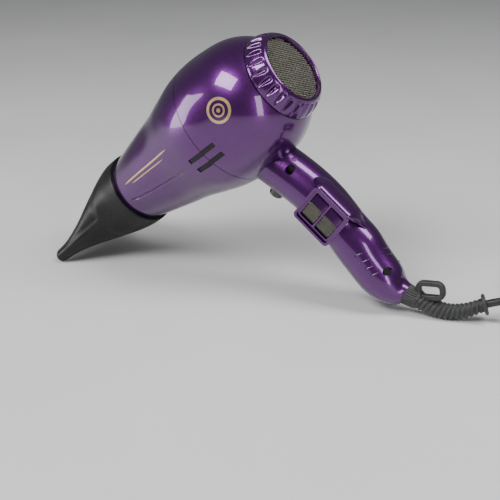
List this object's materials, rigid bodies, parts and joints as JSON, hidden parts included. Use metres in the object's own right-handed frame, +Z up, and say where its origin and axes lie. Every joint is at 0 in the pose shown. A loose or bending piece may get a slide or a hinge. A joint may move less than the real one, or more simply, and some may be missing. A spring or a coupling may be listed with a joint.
{
  "type": "travel hair dryer",
  "caption": "Compact violet hair dryer with flat concentrator, twist-off rear filter, banana-shaped grip, rocker switches and mains lead with plug.",
  "frame": {"origin": "on the surface the dryer stands on, under the middle of the dryer's own box, without the free lead and plug", "axes": "+Z up; +X from the nozzle towards the rear filter and the grip's end; -Y is the side with the rocker switches; the barrel lies in the XZ plane and rises 38 degrees towards +X"},
  "size_m": [0.4392, 0.1433, 0.1719],
  "materials": {
    "shell_gloss": "metallic violet lacquer, high gloss",
    "grip_gloss": "metallic violet lacquer, high gloss",
    "ring_gloss": "metallic violet lacquer, high gloss",
    "frame_gloss": "metallic violet lacquer, high gloss",
    "nozzle_black": "fine-textured black, heat resistant",
    "trim_black": "satin black",
    "mesh_steel": "woven steel wire",
    "rocker_grey": "satin grey, ribbed",
    "button_black": "satin black",
    "relief_rubber": "ribbed soft rubber",
    "lead_rubber": "smooth black sheath",
    "plug_rubber": "moulded black, satin",
    "pin_nickel": "nickel-plated brass",
    "mica": "mica board",
    "heater_wire": "resistance wire",
    "steel": "zinc-plated steel",
    "magnet": "ferrite",
    "brass": "sintered bronze",
    "fan_plastic": "moulded black",
    "duct_plastic": "heat-resistant grey",
    "board_green": "circuit board",
    "module_black": "potted module",
    "terminal_white": "moulded white",
    "spring_steel": "spring steel"
  },
  "bodies": {
    "root": {"front_shell": "shell_gloss", "rear_shell": "shell_gloss", "vent_inserts": "trim_black", "outlet_grille": "trim_black", "heat_sleeve": "mica", "heater_board_long": "mica", "heater_board_cross": "mica", "heater_coils": "heater_wire", "thermostat": "steel", "thermal_fuse": "steel", "motor_duct": "duct_plastic", "duct_ring": "relief_rubber", "motor_can": "steel", "motor_magnets": "magnet", "motor_bearings": "brass", "grip_near": "grip_gloss", "grip_far": "grip_gloss", "grip_screws": "steel", "switch_frame": "frame_gloss", "rocker_pin": "steel", "speed_switch": "trim_black", "heat_switch": "trim_black", "cool_spring": "spring_steel", "cool_switch": "trim_black", "control_board": "board_green", "ion_generator": "module_black", "terminal_block": "terminal_white", "cord_clamp": "trim_black", "cord_collar": "relief_rubber", "strain_relief": "relief_rubber", "relief_flange": "relief_rubber", "hang_loop": "relief_rubber", "mains_lead": "lead_rubber", "lead_coil": "lead_rubber", "lead_tail": "lead_rubber", "lead_tie": "trim_black", "plug_body": "plug_rubber", "plug_pins": "pin_nickel", "plug_relief": "plug_rubber"},
    "nozzle": {"concentrator_nozzle": "nozzle_black"},
    "filter_cap": {"filter_ring": "ring_gloss", "filter_mesh": "mesh_steel", "mesh_retainer": "trim_black"},
    "rotor": {"rotor_core": "steel", "motor_shaft": "steel", "fan_impeller": "fan_plastic"},
    "speed_rocker": {"speed_rocker": "rocker_grey"},
    "heat_rocker": {"heat_rocker": "rocker_grey"},
    "cool_button": {"cool_button": "button_black"}
  },
  "joints": [
    {"name": "nozzle_swivel", "type": "hinge", "parent": "root", "child": "nozzle", "pos_m": [-0.09899, 0, 0.05331], "axis": [0.788, 0, 0.6157], "continuous": true},
    {"name": "filter_twist", "type": "hinge", "parent": "root", "child": "filter_cap", "pos_m": [0.01685, 0, 0.14381], "axis": [0.788, 0, 0.6157], "range_deg": [0, 30]},
    {"name": "fan_spin", "type": "hinge", "parent": "root", "child": "rotor", "pos_m": [-0.02019, 0, 0.11488], "axis": [0.788, 0, 0.6157], "continuous": true},
    {"name": "speed_rock", "type": "hinge", "parent": "root", "child": "speed_rocker", "pos_m": [0.04989, -0.014, 0.06661], "axis": [-0.7826, 0, 0.6225], "range_deg": [-7, 7]},
    {"name": "heat_rock", "type": "hinge", "parent": "root", "child": "heat_rocker", "pos_m": [0.0599, -0.014, 0.05864], "axis": [-0.7826, 0, 0.6225], "range_deg": [-7, 7]},
    {"name": "cool_press", "type": "slide", "parent": "root", "child": "cool_button", "axis": [0.5126, 0, 0.8586], "range_m": [0, 0.0022], "stiffness_N_per_m": 400, "springref_m": -0.002, "deforming": ["cool_spring"]}
  ]
}
